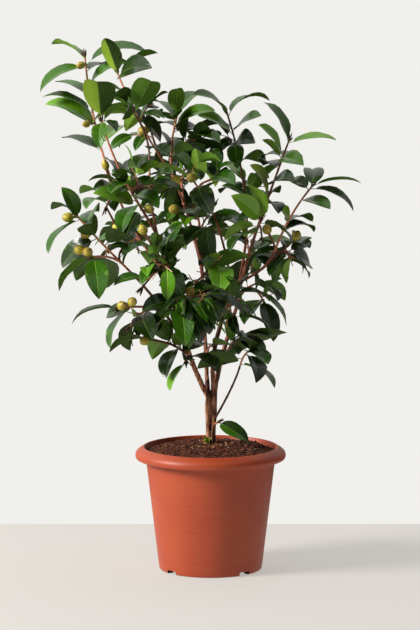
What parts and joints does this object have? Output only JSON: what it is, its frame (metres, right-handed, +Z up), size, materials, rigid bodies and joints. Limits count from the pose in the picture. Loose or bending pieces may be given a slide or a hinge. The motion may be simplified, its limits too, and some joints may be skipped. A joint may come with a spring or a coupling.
{
  "type": "potted camellia shrub",
  "caption": "Camellia shrub with glossy oval leaves and round flower buds on slender forked stems, growing from soil in a tapered round pot with a rolled lip.",
  "frame": {"origin": "centre of the pot's flat underside", "axes": "+Z up along the pot's axis; the side shown in the picture faces -Y and +X is to its right"},
  "size_m": [0.4044, 0.3532, 0.672],
  "materials": {
    "pot": "satin terracotta-coloured plastic with fine level brush marks",
    "soil": "dark crumbly potting soil with bark chips",
    "bark": "smooth brown bark with a darker groove, redder on young stems",
    "foliage": "glossy dark green leaves, paler below, with yellow-green buds"
  },
  "bodies": {
    "root": {"pot": "pot", "soil": "soil", "trunk": "bark", "bough_centre": "bark", "bough_far_left": "bark", "bough_left": "bark", "bough_long_left": "bark", "bough_low_left": "bark", "bough_right": "bark", "bough_right_back": "bark", "bough_right_inner": "bark", "bough_right_low": "bark", "bough_right_outer": "bark", "bough_right_upper": "bark", "bough_side": "bark", "bough_upper_left": "bark", "bough_upper_middle": "bark", "foliage_centre_front": "foliage", "foliage_centre_top": "foliage", "foliage_crown_bright_leaf": "foliage", "foliage_crown_far_left": "foliage", "foliage_crown_second": "foliage", "foliage_crown_top": "foliage", "foliage_far_right": "foliage", "foliage_foot_leaf": "foliage", "foliage_left_back": "foliage", "foliage_left_bud_twig": "foliage", "foliage_left_front": "foliage", "foliage_left_inner_front": "foliage", "foliage_left_middle": "foliage", "foliage_low_back": "foliage", "foliage_low_centre": "foliage", "foliage_low_left_inner": "foliage", "foliage_low_left_outer": "foliage", "foliage_low_right": "foliage", "foliage_middle_back": "foliage", "foliage_right_back": "foliage", "foliage_right_front": "foliage", "foliage_right_inner_front": "foliage", "foliage_right_low": "foliage", "foliage_right_side": "foliage", "foliage_right_top": "foliage", "foliage_side_sprig": "foliage", "foliage_upper_back": "foliage", "foliage_upper_centre": "foliage", "foliage_upper_middle": "foliage", "foliage_upper_right": "foliage"}
  },
  "joints": []
}
